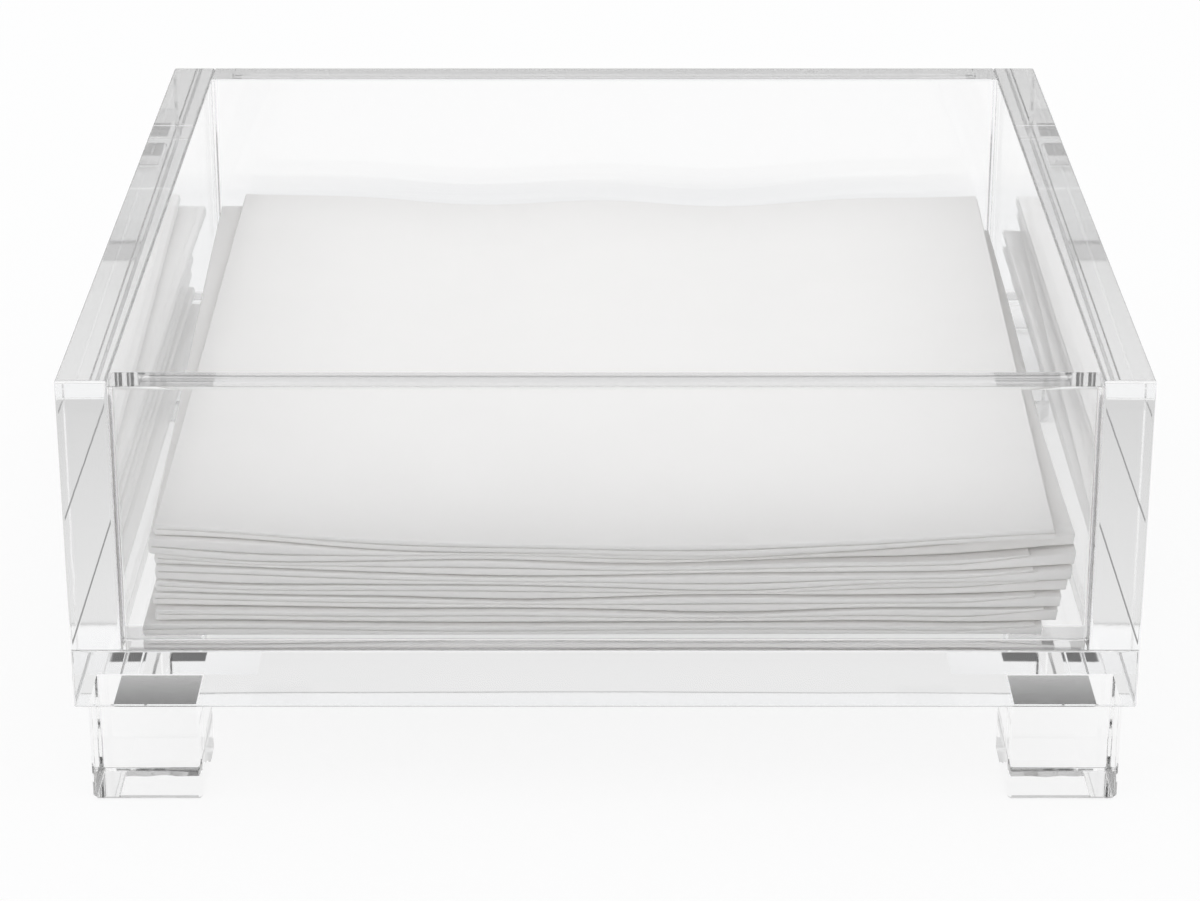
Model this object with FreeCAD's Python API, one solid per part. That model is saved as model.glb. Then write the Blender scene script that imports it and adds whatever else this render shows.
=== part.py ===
import FreeCAD, Part
import math
import os

# Cocktail napkin holder: an open square tray of clear acrylic plates, cemented edge to face,
# standing on four cube feet, with a stack of folded paper napkins lying in it.
# Millimetres, +Z up, the front faces -Y. The origin is on the table, under the middle of the tray.

# Folded napkins, and the room that the tray leaves around them
napkin_count = 8
napkin_width = 128.5
napkin_length = 129.5
well_side_gap = 4.55
well_front_gap = 3.7
well_back_gap = 5.6

# Plates of the tray
side_wall_thickness = 7.2
back_wall_thickness = 7.2
front_wall_thickness = 6.0
wall_height = 41.2
front_wall_drop = 0.9
base_thickness = 9.0
plate_edge_bevel = 0.5

# Cube feet
foot_width = 16.0
foot_height = 15.8
foot_inset = 1.7

# Heights of the napkin stack over the base: the front folds are pressed flatter than the back
stack_front_height = 13.2
stack_back_height = 20.7
front_corner_rise = 3.0
back_corner_rise = 1.6
back_wave_height = 0.6
back_wave_turns = 2.8

# Each napkin's rounded front fold, and the air under it
fold_length = 0.9
fold_nose_share = 0.4
napkin_clearance = 0.2
edge_points = 9

# How each napkin lies off the stack's middle, from the bottom up: to the right, as a share of the side gap,
# and to the front, as a share of the front gap, with its turn in degrees, anticlockwise from above
napkin_shift_shares = (
    (-0.30, 0.70),
    (0.10, 0.45),
    (-0.10, 0.25),
    (0.12, 0.10),
    (0.05, 0.15),
    (0.12, 0.00),
    (-0.33, -0.15),
    (0.18, 0.00),
)
napkin_turns = (0.2, 0.3, -0.2, 0.2, -0.3, -0.1, 1.0, -0.6)

# Sizes that follow
well_width = napkin_width + 2 * well_side_gap
well_depth = well_front_gap + napkin_length + well_back_gap
outer_width = well_width + 2 * side_wall_thickness
outer_depth = well_depth + front_wall_thickness + back_wall_thickness
right = outer_width / 2
back = outer_depth / 2
base_top = foot_height + base_thickness
rim = base_top + wall_height
well_front = -back + front_wall_thickness
well_back = back - back_wall_thickness
stack_front = well_front + well_front_gap
stack_middle = stack_front + napkin_length / 2


def block(low, high, edge_bevel):
    """A solid block between two corners, with every edge bevelled off."""
    size = [h - l for l, h in zip(low, high)]
    box = Part.makeBox(*size, FreeCAD.Vector(*low))
    return box.makeChamfer(edge_bevel, box.Edges)


def tray_plates():
    """The base and the four walls on it: the side walls run the full depth, the others lie between them."""
    inner = right - side_wall_thickness
    corners = {
        "base_plate": ((-right, -back, foot_height), (right, back, base_top)),
        "left_wall": ((-right, -back, base_top), (-inner, back, rim)),
        "right_wall": ((inner, -back, base_top), (right, back, rim)),
        "front_wall": ((-inner, -back, base_top), (inner, well_front, rim - front_wall_drop)),
        "back_wall": ((-inner, well_back, base_top), (inner, back, rim)),
    }
    return {name: block(low, high, plate_edge_bevel) for name, (low, high) in corners.items()}


def feet():
    """A cube under each corner of the base, set in a little from its edges."""
    made = {}
    for end, y in (("front", -back + foot_inset), ("back", back - foot_inset - foot_width)):
        for side, x in (("left", -right + foot_inset), ("right", right - foot_inset - foot_width)):
            low = (x, y, 0)
            high = (x + foot_width, y + foot_width, foot_height)
            made[f"foot_{end}_{side}"] = block(low, high, plate_edge_bevel)
    return made


def stack_height(x, y):
    """Height of the whole stack over the base: corners curl up, and the back edge has a slow wave."""
    across = 2 * x / napkin_width
    along = (y - stack_front) / napkin_length
    wave = math.cos(math.pi * back_wave_turns * across) * (1 - across**2)
    front_edge = stack_front_height + front_corner_rise * across**2
    back_edge = stack_back_height + back_corner_rise * across**2 + back_wave_height * wave
    return front_edge * (1 - along) + back_edge * along


def napkin_section(place, along, share_low, share_high):
    """Outline across one napkin, some way along it, between two shares of the stack's height."""
    side_share, front_share = napkin_shift_shares[place % len(napkin_shift_shares)]
    turn = math.radians(napkin_turns[place % len(napkin_turns)])
    middle_x = side_share * well_side_gap
    middle_y = stack_middle - front_share * well_front_gap
    spots = []
    for step in range(edge_points):
        across = napkin_width * (step / (edge_points - 1) - 1 / 2)
        x = middle_x + across * math.cos(turn) - along * math.sin(turn)
        y = middle_y + across * math.sin(turn) + along * math.cos(turn)
        spots.append((x, y))

    def edge_at(share, clearance):
        heights = [base_top + clearance + share * stack_height(x, y) for x, y in spots]
        curve = Part.BSplineCurve()
        curve.interpolate([FreeCAD.Vector(x, y, z) for (x, y), z in zip(spots, heights)])
        return curve

    under = edge_at(share_low, napkin_clearance)
    over = edge_at(share_high, 0)
    over.reverse()
    right_edge = Part.LineSegment(under.EndPoint, over.StartPoint)
    left_edge = Part.LineSegment(over.EndPoint, under.StartPoint)
    return Part.Wire([line.toShape() for line in (under, right_edge, over, left_edge)])


def napkin(place):
    """One folded napkin: a thin wavy wedge, thicker at the back, with a rounded fold in front."""
    share_low = place / napkin_count
    share_high = (place + 1) / napkin_count
    nose_trim = (share_high - share_low) * (1 - fold_nose_share) / 2
    front = -napkin_length / 2
    sections = [
        napkin_section(place, front, share_low + nose_trim, share_high - nose_trim),
        napkin_section(place, front + fold_length, share_low, share_high),
        napkin_section(place, -front, share_low, share_high),
    ]
    return Part.makeLoft(sections, True, True)


def napkins():
    """The stack, numbered from the bottom up."""
    return {f"napkin_{place + 1:02d}": napkin(place) for place in range(napkin_count)}


os.makedirs("parts", exist_ok=True)
for node, shape in {**tray_plates(), **feet(), **napkins()}.items():
    shape.exportStep(f"parts/{node}.step")
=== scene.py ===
import math
from collections import namedtuple

import bmesh
import bpy
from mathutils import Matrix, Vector, noise


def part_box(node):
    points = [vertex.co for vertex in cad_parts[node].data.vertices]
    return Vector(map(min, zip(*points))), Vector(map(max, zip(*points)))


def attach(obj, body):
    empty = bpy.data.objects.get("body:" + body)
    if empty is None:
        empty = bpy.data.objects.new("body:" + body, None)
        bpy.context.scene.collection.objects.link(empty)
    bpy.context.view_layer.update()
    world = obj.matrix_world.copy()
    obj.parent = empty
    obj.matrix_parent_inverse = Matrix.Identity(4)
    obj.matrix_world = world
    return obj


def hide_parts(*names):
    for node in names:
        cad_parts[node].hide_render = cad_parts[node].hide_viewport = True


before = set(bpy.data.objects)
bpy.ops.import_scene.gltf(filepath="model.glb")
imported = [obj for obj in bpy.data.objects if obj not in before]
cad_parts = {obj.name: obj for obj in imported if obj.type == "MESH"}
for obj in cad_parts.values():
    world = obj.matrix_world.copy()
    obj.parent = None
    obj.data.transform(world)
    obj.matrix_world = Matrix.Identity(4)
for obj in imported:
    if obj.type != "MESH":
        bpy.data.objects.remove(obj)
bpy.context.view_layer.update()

# A clear acrylic tray on cube feet with a stack of folded paper napkins in it. Metres, +Z up, front to -Y.

# Clear plates: rounded edges, tighter along the joints, and hairlines of air in the wall joints
edge_round = 0.0004
edge_round_steps = 5
joint_edge_round = 0.0002
joint_edge_share = 0.5
foot_bevel = 0.0006
foot_bevel_steps = 1
hairline_gap = 0.00004
touch_distance = 0.0001
cut_snap_distance = 0.00004
flat_normal = 0.9999

# Acrylic finish: slow waves on cast faces, streaks along polished edges
acrylic_colour = (0.988, 0.988, 0.988, 1)
acrylic_refraction = 1.49
face_roughness = 0
face_wave_length = 0.030
face_wave_height = 0.000004
edge_roughness = 0.03
streak_width = 0.0022
streak_length = 0.050
streak_height = 0.000005
wave_detail = 1

# Painted shade: a dark film in the feet's joints, for the shaded floor seen through them, thinner to the
# back on the front feet, a patch on the back feet
painted_shade_colour = (0, 0, 0, 1)
painted_shade_density = 2200.0
painted_shade_gap = 0.00002
painted_shade_outer_margin = 0.0038
joint_painted_shade_depths = (0.00018, 0.00009)
back_painted_shade_length = 0.0070
back_painted_shade_width = 0.0060
back_painted_shade_depth = 0.00024

# Painted shade: dark lines of film along the front wall's joints and the front of the front feet's
# undersides
painted_line_inset = 0.00013
painted_line_width = 0.0004
painted_line_depth = 0.00019
painted_line_end_gap = 0.0012

# Contact of the front feet with the table, up to a wavy edge, with a trace of painted shade, a dark film,
# behind that
contact_share = 0.75
contact_margin = 0.0007
contact_wave_height = 0.0009
contact_wave_length = 0.0035
contact_steps = 24
contact_painted_shade_depth = 0.00003

# Paper sheets: each is folded in two to the front, then in two to the left, a little off its middle
sheet_width = 0.257
sheet_length = 0.259
sheet_thickness = 0.00010
sheet_steps = 32
sheet_shifts = (-0.0008, -0.0010, 0, -0.0009, 0, -0.0006, -0.0005, -0.0003)
misfold_length = 0.0030
misfold_shares = (0.15, 0.30, 0.60, 0.73, 0.89, 1.07, 1.30, 0.00)
front_misfold_share = 0.5

# Rounded noses of the two folds
nose_steps = 4
front_nose_arc = 0.0005
front_nose_depth = 0.00015
left_nose_arc = 0.0006
left_nose_depth = 0.0003
inner_nose_share = 0.5
inner_fold_inset = 0.0004

# Layers of a folded sheet: two pairs near the front fold, evenly apart behind it, pressed at its ends
layer_count = 4
even_gap_share = 0.14
fold_gap_share = 0.07
end_gap_share = 0.5
pair_gap_share = 0.05
pair_parting_share = 0.5
pair_sway_share = 0.20
pressed_gap_share = 0.08
puff_length = 0.005
end_fade_length = 0.0022
end_fill_length = 0.012

# The stack that the sheets lie in, as the solids have it, with turns in degrees
stack_front_gap = 0.0037
stack_front_height = 0.0132
stack_back_height = 0.0207
front_corner_rise = 0.0030
back_corner_rise = 0.0016
back_wave_height = 0.0006
back_wave_turns = 2.8
napkin_clearance = 0.0002
napkin_turns = (0.2, 0.3, -0.2, 0.2, -0.3, -0.1, 1.0, -0.6)

# A slow sway of the levels between the sheets
sway_lengths = (0.034, 0.068)
sway_share = 0.08

# Paper finish
paper_colour = (0.88, 0.866, 0.846, 1)
paper_shade_colour = (0.85, 0.836, 0.816, 1)
paper_roughness = 0.9
paper_specular = 0.2
paper_mottle_length = 0.018
paper_mottle_detail = 6
paper_fibre_length = 0.0006
paper_fibre_height = 0.00002
paper_fibre_detail = 4

# Floor: nearly white to the camera and through glass, with a painted shadow behind the tray: greyer through
# glass where the tray's shade would lie
floor_side = 8.0
floor_gap = 0.00005
floor_colour = (0.90, 0.90, 0.90, 1)
backdrop_share = 0.90
backdrop_glass_share = 0.87
shade_share = 0.45
shade_start = (0.066, 0.080)
shade_end = (0.208, 0.222)

# Sky: white to the camera, dimmer low down through glass, and a dome, brighter in front, for matt surfaces
white_colour = (1, 1, 1, 1)
white_strength = 1
sky_horizon_rise = 0.1
sky_horizon_strength = 0.25
sky_zenith_rise = 0.6
sky_zenith_strength = 1.00
dome_colour = (0.98, 0.99, 1.01, 1)
dome_strength = 1.08
dome_front_share = 0.6

# Bounces of light, enough to pass many clear walls
clear_bounces = 96
transparent_bounces = 32
matt_bounces = 5

# Camera at the photograph's angle
camera_place = (-0.00073, -0.53537, 0.24584)
camera_tilt = math.radians(67.5102)
camera_lens_mm = 107.454
camera_sensor_mm = 36.0
camera_near = 0.01

# Clear pieces, in an order in which each wall leaves the hairline in its joints with those before it
clear_nodes = (
    "base_plate",
    "left_wall",
    "right_wall",
    "front_wall",
    "back_wall",
    "foot_front_left",
    "foot_front_right",
    "foot_back_left",
    "foot_back_right",
)
napkin_count = 8
napkin_nodes = [f"napkin_{place + 1:02d}" for place in range(napkin_count)]

# Finishes of a clear piece, as they are numbered on its faces; the last is a dark film of painted shade
cast_finish, along_x_finish, along_y_finish, cement_finish, painted_shade_finish = range(5)

# Sizes and places that follow, some from the frame
base_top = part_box("base_plate")[1][2]
well_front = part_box("front_wall")[1][1]
folded_width = sheet_width / 2
folded_length = sheet_length / 2
stack_front = well_front + stack_front_gap
top_layer = layer_count - 1
middle_level = top_layer / 2


def new_material(name):
    """An empty node material and its output node."""
    material = bpy.data.materials.new(name)
    material.use_nodes = True
    material.node_tree.nodes.clear()
    return material, material.node_tree.nodes.new("ShaderNodeOutputMaterial")


def feed(tree, socket, value):
    """Gives a socket a plain value, or links another node's output to it."""
    if isinstance(value, bpy.types.NodeSocket):
        tree.links.new(value, socket)
    else:
        socket.default_value = value


def math_node(tree, operation, *values):
    """The result of one operation on numbers or on other nodes' outputs."""
    node = tree.nodes.new("ShaderNodeMath")
    node.operation = operation
    for socket, value in zip(node.inputs, values):
        feed(tree, socket, value)
    return node.outputs[0]


def ramp(tree, value, start, end, low, high, interpolation="LINEAR"):
    """A number that goes from low to high while a value goes from start to end."""
    node = tree.nodes.new("ShaderNodeMapRange")
    node.interpolation_type = interpolation
    node.inputs["From Min"].default_value = start
    node.inputs["From Max"].default_value = end
    node.inputs["To Min"].default_value = low
    node.inputs["To Max"].default_value = high
    tree.links.new(value, node.inputs["Value"])
    return node.outputs["Result"]


def axes_of(tree, coordinates):
    """The three axes of a kind of texture coordinates, each an output."""
    place = tree.nodes.new("ShaderNodeTexCoord")
    split = tree.nodes.new("ShaderNodeSeparateXYZ")
    tree.links.new(place.outputs[coordinates], split.inputs["Vector"])
    return split.outputs


def mix_shader(tree, share, first, second):
    """Two shaders mixed by a share, from 0, all the first, to 1, all the second."""
    mix = tree.nodes.new("ShaderNodeMixShader")
    tree.links.new(share, mix.inputs["Fac"])
    tree.links.new(first, mix.inputs[1])
    tree.links.new(second, mix.inputs[2])
    return mix.outputs["Shader"]


def noise_factor(tree, lengths, detail):
    """Noise of one length along each axis of the object's own coordinates."""
    place = tree.nodes.new("ShaderNodeTexCoord")
    stretch = tree.nodes.new("ShaderNodeMapping")
    stretch.inputs["Scale"].default_value = [1 / length for length in lengths]
    texture = tree.nodes.new("ShaderNodeTexNoise")
    texture.inputs["Scale"].default_value = 1
    texture.inputs["Detail"].default_value = detail
    tree.links.new(place.outputs["Object"], stretch.inputs["Vector"])
    tree.links.new(stretch.outputs["Vector"], texture.inputs["Vector"])
    return texture.outputs["Fac"]


def add_bump(tree, shader, factor, depth):
    """Bumps of a real depth on a shader, from a factor."""
    bump = tree.nodes.new("ShaderNodeBump")
    bump.inputs["Distance"].default_value = depth
    tree.links.new(factor, bump.inputs["Height"])
    tree.links.new(bump.outputs["Normal"], shader.inputs["Normal"])


def acrylic_material(name, roughness, wave_lengths, wave_height):
    """Clear cast acrylic, with waves of a length along each axis."""
    material, output = new_material(name)
    tree = material.node_tree
    shader = tree.nodes.new("ShaderNodeBsdfPrincipled")
    shader.inputs["Base Color"].default_value = acrylic_colour
    shader.inputs["Roughness"].default_value = roughness
    shader.inputs["IOR"].default_value = acrylic_refraction
    shader.inputs["Transmission Weight"].default_value = 1
    add_bump(tree, shader, noise_factor(tree, wave_lengths, wave_detail), wave_height)
    tree.links.new(shader.outputs["BSDF"], output.inputs["Surface"])
    return material


def cement_material():
    """Clear cement: no air is left, so the joint itself does not show."""
    material, output = new_material("clear_cement")
    tree = material.node_tree
    shader = tree.nodes.new("ShaderNodeBsdfTransparent")
    tree.links.new(shader.outputs["BSDF"], output.inputs["Surface"])
    return material


def painted_shade_material():
    """Painted shade: a dark film that bends no light, and darkens what is seen through it."""
    material, output = new_material("painted_shade_film")
    tree = material.node_tree
    shader = tree.nodes.new("ShaderNodeBsdfTransparent")
    smoke = tree.nodes.new("ShaderNodeVolumeAbsorption")
    smoke.inputs["Color"].default_value = painted_shade_colour
    smoke.inputs["Density"].default_value = painted_shade_density
    tree.links.new(shader.outputs["BSDF"], output.inputs["Surface"])
    tree.links.new(smoke.outputs["Volume"], output.inputs["Volume"])
    return material


def paper_material():
    """Soft white tissue: a faint mottle, and fibres that break up the light."""
    material, output = new_material("napkin_paper")
    tree = material.node_tree
    shader = tree.nodes.new("ShaderNodeBsdfPrincipled")
    shader.inputs["Roughness"].default_value = paper_roughness
    shader.inputs["Specular IOR Level"].default_value = paper_specular
    mottle = noise_factor(tree, (paper_mottle_length,) * 3, paper_mottle_detail)
    shade = tree.nodes.new("ShaderNodeMix")
    shade.data_type = "RGBA"
    shade.inputs["A"].default_value = paper_shade_colour
    shade.inputs["B"].default_value = paper_colour
    tree.links.new(mottle, shade.inputs["Factor"])
    tree.links.new(shade.outputs["Result"], shader.inputs["Base Color"])
    fibres = noise_factor(tree, (paper_fibre_length,) * 3, paper_fibre_detail)
    add_bump(tree, shader, fibres, paper_fibre_height)
    tree.links.new(shader.outputs["BSDF"], output.inputs["Surface"])
    return material


def new_piece(name, mesh, body, node):
    """A mesh object that stands for one CAD node and moves with its body."""
    piece = bpy.data.objects.new(name, mesh)
    bpy.context.scene.collection.objects.link(piece)
    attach(piece, body)
    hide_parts(node)
    return piece


Joint = namedtuple("Joint", "axis level low high other")


def joints_of(node):
    """Where a plate meets others face to face: each joint's axis, level and corners, and the other plate."""
    low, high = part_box(node)
    joints = []
    for other in clear_nodes:
        if other == node:
            continue
        other_low, other_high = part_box(other)
        joint_low = [max(pair) for pair in zip(low, other_low)]
        joint_high = [min(pair) for pair in zip(high, other_high)]
        for axis in range(3):
            across = [k for k in range(3) if k != axis]
            for level, facing in ((low[axis], other_high[axis]), (high[axis], other_low[axis])):
                meets = abs(level - facing) < touch_distance
                if meets and all(joint_high[k] - joint_low[k] > edge_round for k in across):
                    joints.append(Joint(axis, level, joint_low, joint_high, other))
    return joints


def plate_corners(node, joints):
    """A piece's corners, with a wall drawn in by a hairline at its joints with the plates before it."""
    low, high = [list(corner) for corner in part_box(node)]
    for joint in joints:
        yields = clear_nodes.index(joint.other) < clear_nodes.index(node)
        if yields and "foot" not in node:
            if joint.level == low[joint.axis]:
                low[joint.axis] += hairline_gap
            else:
                high[joint.axis] -= hairline_gap
    return low, high


def runs_along(edge, joint):
    """Whether one edge of a block runs along a joint for most of its length."""
    start, end = [vert.co for vert in edge.verts]
    along = max(range(3), key=lambda k: abs(end[k] - start[k]))
    if along == joint.axis:
        return False
    across = next(k for k in range(3) if k not in (along, joint.axis))
    at_level = abs(start[joint.axis] - joint.level) < touch_distance
    reaches = joint.low[across] - touch_distance < start[across] < joint.high[across] + touch_distance
    low, high = sorted((start[along], end[along]))
    shared = min(high, joint.high[along]) - max(low, joint.low[along])
    return at_level and reaches and shared > joint_edge_share * (high - low)


def block(low, high, joints, rounding):
    """A block whose edges are marked for rounding, less along its joints."""
    bm = bmesh.new()
    bmesh.ops.create_cube(bm, size=1)
    for vert in bm.verts:
        vert.co = [low[k] if vert.co[k] < 0 else high[k] for k in range(3)]
    weights = bm.edges.layers.float.new("bevel_weight_edge")
    for edge in bm.edges:
        upright = abs(edge.verts[0].co[2] - edge.verts[1].co[2]) > touch_distance
        at_joint = not upright and any(runs_along(edge, joint) for joint in joints)
        edge[weights] = joint_edge_round / rounding if at_joint else 1
    return bm


def cut_across(bm, axis, level):
    """Cuts a block's faces along one plane, with nothing taken away."""
    normal = Vector((0, 0, 0))
    normal[axis] = 1
    geometry = bm.verts[:] + bm.edges[:] + bm.faces[:]
    bmesh.ops.bisect_plane(
        bm, geom=geometry, dist=cut_snap_distance, plane_co=normal * level, plane_no=normal
    )


def inside(point, low, high):
    """Whether a point lies between two corners, seen from above."""
    return all(low[k] < point[k] < high[k] for k in (0, 1))


def rectangle(x_ends, y_ends):
    """Corners of a rectangle seen from above, anticlockwise from its left front."""
    x_low, x_high = x_ends
    y_low, y_high = y_ends
    return [(x_low, y_low), (x_high, y_low), (x_high, y_high), (x_low, y_high)]


def mark_foot_joint(bm, node, joint):
    """Marks a foot's cemented face on either plate."""
    low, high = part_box(node)
    joint_low = [value + joint_edge_round for value in joint.low]
    joint_high = [value - joint_edge_round for value in joint.high]
    for k in (0, 1):
        for level in (joint_low[k], joint_high[k]):
            if low[k] + edge_round < level < high[k] - edge_round:
                cut_across(bm, k, level)
    for face in bm.faces:
        middle = face.calc_center_median()
        if abs(middle[2] - joint.level) < touch_distance and inside(middle, joint_low, joint_high):
            face.material_index = cement_finish


def add_painted_shade(bm, outline, low, highs):
    """A thin closed layer of dark film, painted shade, over an outline seen from above, with its own top
    level at each corner.
    """
    lower = [bm.verts.new((x, y, low)) for x, y in outline]
    upper = [bm.verts.new((x, y, high)) for (x, y), high in zip(outline, highs)]
    faces = [bm.faces.new(reversed(lower)), bm.faces.new(upper)]
    for k in range(len(outline)):
        after = (k + 1) % len(outline)
        faces.append(bm.faces.new((lower[k], lower[after], upper[after], upper[k])))
    for face in faces:
        face.material_index = painted_shade_finish


def shade_and_contact_sides(low, high, margin):
    """Left and right limits of the painted shade and of the table contact on a foot, with a wider margin by
    the tray's outer side.
    """
    if low[0] < 0:
        return low[0] + painted_shade_outer_margin, high[0] - margin
    return low[0] + margin, high[0] - painted_shade_outer_margin


def add_joint_painted_shade(bm, joint):
    """Painted shade in a front foot's joint: dark film, thinner to the back, for the shaded floor seen
    through the foot.
    """
    x_ends = shade_and_contact_sides(joint.low, joint.high, edge_round)
    y_ends = (joint.low[1] + edge_round, joint.high[1] - edge_round)
    low = joint.level - painted_shade_gap - max(joint_painted_shade_depths)
    near, far = [low + depth for depth in joint_painted_shade_depths]
    add_painted_shade(bm, rectangle(x_ends, y_ends), low, [near, near, far, far])


def add_back_painted_shade(bm, joint):
    """Painted shade at the back of a back foot's joint, by the tray's outer side: a patch of dark film."""
    if joint.low[0] < 0:
        x_low = joint.low[0] + edge_round
        x_ends = (x_low, x_low + back_painted_shade_width)
    else:
        x_high = joint.high[0] - edge_round
        x_ends = (x_high - back_painted_shade_width, x_high)
    y_high = joint.high[1] - edge_round
    outline = rectangle(x_ends, (y_high - back_painted_shade_length, y_high))
    high = joint.level - painted_shade_gap
    add_painted_shade(bm, outline, high - back_painted_shade_depth, [high] * len(outline))


def add_painted_line(bm, x_ends, front, z_ends):
    """A line of dark film, painted shade, close behind a front face, between two ends across it and two
    levels.
    """
    y_low = front + painted_line_inset
    outline = rectangle(sorted(x_ends), (y_low, y_low + painted_line_depth))
    add_painted_shade(bm, outline, min(z_ends), [max(z_ends)] * len(outline))


def add_wall_painted_line(bm, joint):
    """A line of painted shade, dark film, along the front of one of the front wall's joints."""
    low, high = joint.low, joint.high
    if joint.axis == 0:
        inward = math.copysign(1, -joint.level)
        x_near = joint.level + inward * painted_line_inset
        x_ends = (x_near, x_near + inward * painted_line_width)
        z_ends = (low[2] + painted_line_end_gap, high[2] - painted_line_end_gap)
    else:
        x_ends = (low[0] + painted_line_end_gap, high[0] - painted_line_end_gap)
        z_low = joint.level + painted_line_inset
        z_ends = (z_low, z_low + painted_line_width)
    add_painted_line(bm, x_ends, low[1], z_ends)


def add_foot_painted_line(bm, low, high):
    """A line of painted shade, dark film, along the front of a foot's underside, half way up its bevel."""
    z_low = low[2] + foot_bevel / 2
    x_ends = shade_and_contact_sides(low, high, contact_margin)
    add_painted_line(bm, x_ends, low[1] + painted_line_inset, (z_low, z_low + painted_line_width))


def contact_wave(x):
    """How far the back edge of a foot's contact with the table wanders."""
    return contact_wave_height * noise.noise(Vector((x / contact_wave_length, 0, 0)))


def mark_contact(bm, low, high):
    """Marks where a foot clings to the table and does not mirror, and lays dark film, painted shade, behind
    its wavy edge.
    """
    x_low, x_high = shade_and_contact_sides(low, high, contact_margin)
    y_low = low[1] + contact_margin
    y_high = low[1] + contact_share * (high[1] - low[1])
    for axis, level in ((0, x_low), (0, x_high), (1, y_low), (1, y_high)):
        cut_across(bm, axis, level)
    for face in bm.faces:
        middle = face.calc_center_median()
        if abs(middle[2] - low[2]) < touch_distance and inside(middle, (x_low, y_low), (x_high, y_high)):
            contact = face
    contact.material_index = cement_finish
    back_edge = max(contact.edges, key=lambda edge: sum(vert.co[1] for vert in edge.verts))
    bmesh.ops.subdivide_edges(bm, edges=[back_edge], cuts=contact_steps)
    outline = [(x_high, high[1] - contact_margin), (x_low, high[1] - contact_margin)]
    for vert in sorted(contact.verts, key=lambda vert: vert.co[0]):
        if abs(vert.co[1] - y_high) < touch_distance:
            vert.co[1] += contact_wave(vert.co[0])
            outline.append((vert.co[0], vert.co[1]))
    painted_shade_low = low[2] + painted_shade_gap
    add_painted_shade(bm, outline, painted_shade_low, [painted_shade_low + contact_painted_shade_depth] * len(outline))


def finish_of(face, node, thin):
    """Which finish a face has: a plate's cast faces, or edges polished along their length."""
    if "foot" not in node and abs(face.normal[thin]) > flat_normal:
        return cast_finish
    reach = [max(vert.co[k] for vert in face.verts) - min(vert.co[k] for vert in face.verts) for k in (0, 1)]
    return along_x_finish if reach[0] > reach[1] else along_y_finish


def clear_plate(node, materials):
    """One acrylic plate or foot: cast faces, polished edges, its cemented faces marked off, and its dark
    film of painted shade.
    """
    joints = joints_of(node)
    low, high = plate_corners(node, joints)
    size = [high[k] - low[k] for k in range(3)]
    rounding = foot_bevel if "foot" in node else edge_round
    bm = block(low, high, joints, rounding)
    for face in bm.faces:
        face.smooth = True
        face.material_index = finish_of(face, node, size.index(min(size)))
    for joint in joints:
        if "foot" in node + joint.other:
            mark_foot_joint(bm, node, joint)
        if "foot_front" in node:
            add_joint_painted_shade(bm, joint)
        if "foot_back" in node:
            add_back_painted_shade(bm, joint)
        if node == "front_wall":
            add_wall_painted_line(bm, joint)
    if "foot_front" in node:
        mark_contact(bm, low, high)
        add_foot_painted_line(bm, low, high)
    mesh = bpy.data.meshes.new(node + "_clear")
    bm.to_mesh(mesh)
    bm.free()
    for material in materials:
        mesh.materials.append(material)
    piece = new_piece(node + "_clear", mesh, "holder", node)
    rounds = piece.modifiers.new("rounds", "BEVEL")
    rounds.limit_method = "WEIGHT"
    rounds.width = rounding
    rounds.segments = foot_bevel_steps if "foot" in node else edge_round_steps
    rounds.harden_normals = True


def stack_height(x, y):
    """Height of the whole stack over the base: corners curl up, and the back edge has a slow wave."""
    across = 2 * x / folded_width
    along = (y - stack_front) / folded_length
    wave = math.cos(math.pi * back_wave_turns * across) * (1 - across**2)
    front_edge = stack_front_height + front_corner_rise * across**2
    back_edge = stack_back_height + back_corner_rise * across**2 + back_wave_height * wave
    return front_edge * (1 - along) + back_edge * along


def sway(place, x, y):
    """A slow wave from -1 to 1 over the stack, another for each place in it."""
    return noise.noise(Vector((x / sway_lengths[0], y / sway_lengths[1], place)))


def level_share(place, x, y):
    """Share of the stack's height that lies under a napkin; the levels between napkins sway a little."""
    if place in (0, napkin_count):
        return place / napkin_count
    return place / napkin_count + sway_share * sway(place, x, y)


def fold_run(distance, arc, depth):
    """Run back from a fold and side of it (-1 to 1), for a signed distance along the paper."""
    turn = max(-1, min(1, distance / arc)) * math.pi / 2
    return depth * (1 - math.cos(turn)) + max(0, abs(distance) - arc), math.sin(turn)


def spread(value, points):
    """Straight-line interpolation over evenly counted points."""
    start = min(int(value), len(points) - 2)
    return points[start] + (value - start) * (points[start + 1] - points[start])


def smooth_step(share):
    """A share from 0 to 1, eased at both ends."""
    return share * share * (3 - 2 * share)


def sheet_distances(folded, arc, misfold):
    """Signed distances from a fold where the sheet has points; its under side is longer by the misfold."""
    nose = [arc * step / nose_steps for step in range(1, nose_steps + 1)]
    signed = [0]
    for sign in (-1, 1):
        reach = folded - sign * misfold
        plain = [arc + (reach - arc) * step / sheet_steps for step in range(1, sheet_steps + 1)]
        signed += [sign * distance for distance in nose + plain]
    return sorted(signed)


def open_share(u, misfold):
    """How far the front fold stands open: 1 along most of it, and 0 at its pressed ends."""
    reach = folded_width - math.copysign(misfold, u)
    return 1 - math.exp(-min(abs(u), reach - abs(u)) / end_fade_length)


def fill_share(u, misfold):
    """How far the longer half fills a napkin's height, near the right end of the shorter one."""
    spare = folded_width - misfold - abs(u)
    near = max(0, min(1, 1 - spare / end_fill_length))
    return smooth_step(near) if misfold > 0 else 0


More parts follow.
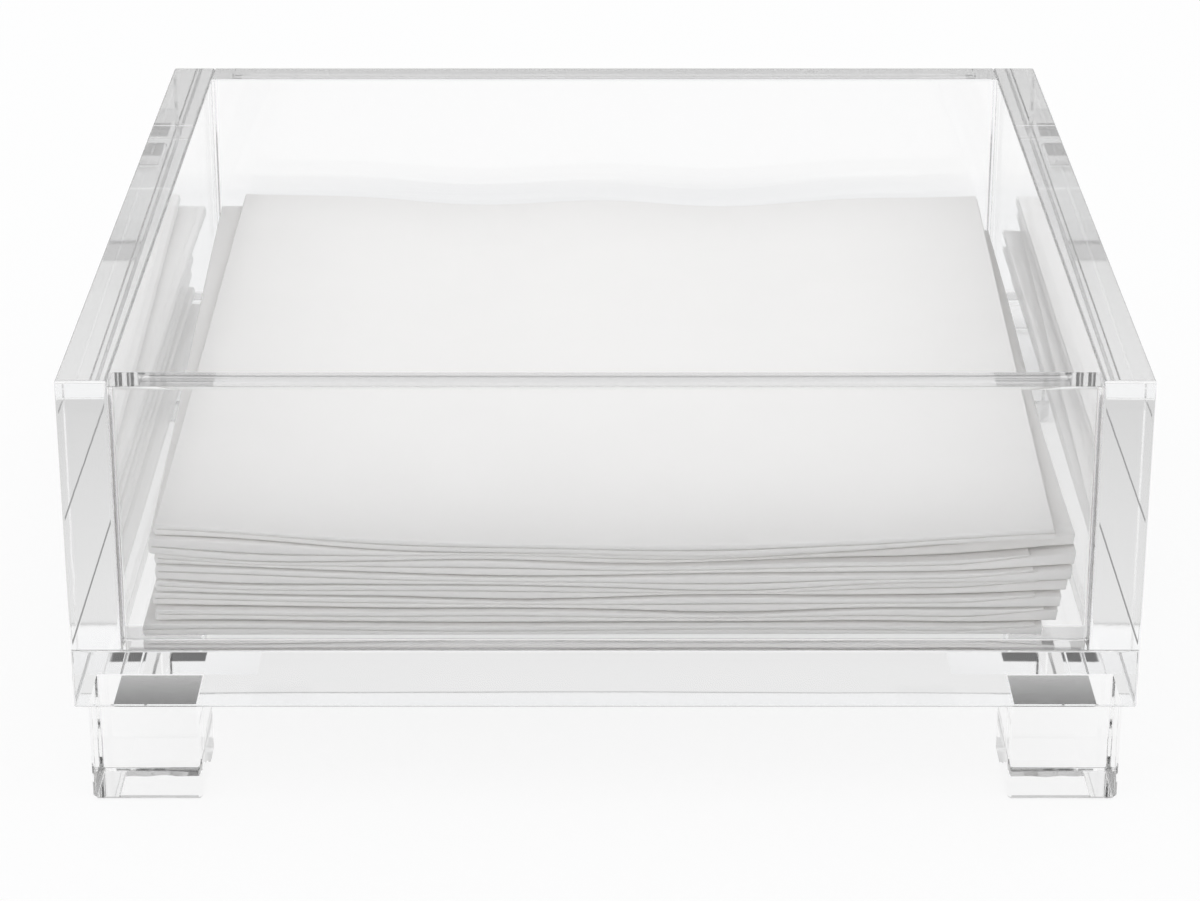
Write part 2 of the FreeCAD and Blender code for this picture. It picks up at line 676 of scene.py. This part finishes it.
def layer_share(level, close, gap_share, filled, wander):
    """Height share inside a napkin of a layer, from 0 up; near the front fold layers lie in pairs."""
    spacing = (1 - 2 * even_gap_share) / top_layer
    even = [even_gap_share + spacing * layer for layer in range(layer_count)]
    parting = pair_parting_share + pair_sway_share * wander
    pairs = [gap_share, parting - pair_gap_share, parting + pair_gap_share, 1 - gap_share]
    layers = [apart * (1 - close) + paired * close for apart, paired in zip(even, pairs)]
    for layer in range(1, top_layer):
        pressed = layers[top_layer] - (top_layer - layer) * pressed_gap_share
        layers[layer] += filled * (pressed - layers[layer])
    return spread(level, layers)


def sheet_point(place, middle, u, v):
    """Where a point of the flat sheet lies once folded, from its distances to the two folds."""
    misfold = misfold_length * misfold_shares[place]
    opened = open_share(u, misfold)
    back_run, pair_side = fold_run(v, front_nose_arc, front_nose_depth * opened)
    inner = (1 + pair_side) / 2
    right_run, fold_side = fold_run(u, left_nose_arc, left_nose_depth * (1 - inner_nose_share * inner))
    across = right_run + inner * inner_fold_inset - folded_width / 2
    along = back_run - folded_length / 2
    turn = math.radians(napkin_turns[place])
    x = middle[0] + across * math.cos(turn) - along * math.sin(turn)
    y = middle[1] + across * math.sin(turn) + along * math.cos(turn)
    height = stack_height(x, y)
    under = level_share(place, x, y) * height + napkin_clearance * (1 - place / napkin_count)
    over = level_share(place + 1, x, y) * height
    level = middle_level + (middle_level - inner) * fold_side
    gap_share = fold_gap_share * (end_gap_share + (1 - end_gap_share) * opened)
    close = math.exp(-back_run / puff_length)
    share = layer_share(level, close, gap_share, fill_share(u, misfold), sway(-place - 1, x, y))
    return x, y, base_top + under + share * (over - under)


def napkin_sheet(place, material):
    """One square sheet, folded in four, between the levels that its place in the stack gives it."""
    node = napkin_nodes[place]
    low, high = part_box(node)
    middle = [(low[k] + high[k]) / 2 for k in (0, 1)]
    middle[0] += sheet_shifts[place]
    misfold = misfold_length * misfold_shares[place]
    us = sheet_distances(folded_width, left_nose_arc, misfold)
    vs = sheet_distances(folded_length, front_nose_arc, front_misfold_share * misfold)
    bm = bmesh.new()
    grid = [[bm.verts.new(sheet_point(place, middle, u, v)) for u in us] for v in vs]
    for near, far in zip(grid, grid[1:]):
        for k in range(len(us) - 1):
            bm.faces.new((near[k], near[k + 1], far[k + 1], far[k])).smooth = True
    for edge in bm.edges:
        edge.smooth = not edge.is_boundary
    mesh = bpy.data.meshes.new(node + "_sheet")
    bm.to_mesh(mesh)
    bm.free()
    mesh.materials.append(material)
    body = "top_napkin" if place == napkin_count - 1 else "napkin_stack"
    piece = new_piece(node + "_sheet", mesh, body, node)
    thick = piece.modifiers.new("thickness", "SOLIDIFY")
    thick.thickness = sheet_thickness
    thick.offset = 0


def shade_behind(tree):
    """How white the floor looks through glass: a painted shadow, greyer in a band behind the tray where its
    shade would lie.
    """
    along = axes_of(tree, "Object")["Y"]
    near = ramp(tree, along, *shade_start, backdrop_glass_share, shade_share)
    far = ramp(tree, along, *shade_end, shade_share, backdrop_glass_share)
    return math_node(tree, "MAXIMUM", near, far)


def backdrop_rays(tree, direct_share, glass_share):
    """How white a ray sees the backdrop: from the camera, or by way of glass, but no matt surface."""
    rays = tree.nodes.new("ShaderNodeLightPath").outputs
    by_glass = math_node(tree, "MAXIMUM", rays["Is Glossy Ray"], rays["Is Transmission Ray"])
    clear = math_node(tree, "GREATER_THAN", by_glass, rays["Diffuse Depth"])
    glass = math_node(tree, "MULTIPLY", clear, glass_share)
    return math_node(tree, "MULTIPLY_ADD", rays["Is Camera Ray"], direct_share, glass)


def floor():
    """A pale plain floor, nearly white to the camera, that still takes the tray's shadow."""
    material, output = new_material("floor")
    tree = material.node_tree
    matt = tree.nodes.new("ShaderNodeBsdfDiffuse")
    matt.inputs["Color"].default_value = floor_colour
    white = tree.nodes.new("ShaderNodeEmission")
    share = backdrop_rays(tree, backdrop_share, shade_behind(tree))
    look = mix_shader(tree, share, matt.outputs["BSDF"], white.outputs["Emission"])
    tree.links.new(look, output.inputs["Surface"])
    ends = (-floor_side / 2, floor_side / 2)
    corners = [(x, y, -floor_gap) for x, y in rectangle(ends, ends)]
    mesh = bpy.data.meshes.new("floor")
    mesh.from_pydata(corners, [], [range(len(corners))])
    mesh.materials.append(material)
    piece = bpy.data.objects.new("floor", mesh)
    bpy.context.scene.collection.objects.link(piece)


def background(tree, colour, strength):
    """A background of one colour, and of one strength or another node's."""
    node = tree.nodes.new("ShaderNodeBackground")
    node.inputs["Color"].default_value = colour
    feed(tree, node.inputs["Strength"], strength)
    return node.outputs["Background"]


def sky():
    """A dome lights matt surfaces, clear plates show a sky dimmer low down, and the camera sees white."""
    world = bpy.data.worlds.new("studio")
    world.use_nodes = True
    bpy.context.scene.world = world
    tree = world.node_tree
    tree.nodes.clear()
    output = tree.nodes.new("ShaderNodeOutputWorld")
    axes = axes_of(tree, "Generated")
    rises = (sky_horizon_rise, sky_zenith_rise)
    strengths = (sky_horizon_strength, sky_zenith_strength)
    seen = background(tree, white_colour, ramp(tree, axes["Z"], *rises, *strengths, "SMOOTHSTEP"))
    front = dome_strength * (1 + dome_front_share)
    back = dome_strength * (1 - dome_front_share)
    dome = background(tree, dome_colour, ramp(tree, axes["Y"], -1, 1, front, back))
    white = background(tree, white_colour, white_strength)
    rays = tree.nodes.new("ShaderNodeLightPath").outputs
    light = mix_shader(tree, rays["Diffuse Depth"], seen, dome)
    look = mix_shader(tree, rays["Is Camera Ray"], light, white)
    tree.links.new(look, output.inputs["Surface"])


def camera():
    """The photograph's camera."""
    data = bpy.data.cameras.new("camera")
    data.lens = camera_lens_mm
    data.sensor_width = camera_sensor_mm
    data.clip_start = camera_near
    holder = bpy.data.objects.new("camera", data)
    holder.location = camera_place
    holder.rotation_euler = (camera_tilt, 0, 0)
    bpy.context.scene.collection.objects.link(holder)
    bpy.context.scene.camera = holder


def light_paths():
    """Enough bounces for light that passes many clear walls, and caustics on."""
    cycles = bpy.context.scene.cycles
    cycles.max_bounces = clear_bounces
    cycles.transmission_bounces = clear_bounces
    cycles.glossy_bounces = clear_bounces
    cycles.transparent_max_bounces = transparent_bounces
    cycles.diffuse_bounces = matt_bounces
    cycles.caustics_refractive = True
    cycles.caustics_reflective = True


# The whole scene, with a clear piece's materials in the order of their finishes
streaks_along_x = (streak_length, streak_width, streak_width)
streaks_along_y = (streak_width, streak_length, streak_width)
clear_materials = (
    acrylic_material("cast_face", face_roughness, (face_wave_length,) * 3, face_wave_height),
    acrylic_material("edge_along_x", edge_roughness, streaks_along_x, streak_height),
    acrylic_material("edge_along_y", edge_roughness, streaks_along_y, streak_height),
    cement_material(),
    painted_shade_material(),
)
for node in clear_nodes:
    clear_plate(node, clear_materials)
paper = paper_material()
for place in range(napkin_count):
    napkin_sheet(place, paper)
floor()
sky()
camera()
light_paths()
bpy.context.scene.view_settings.view_transform = "Standard"
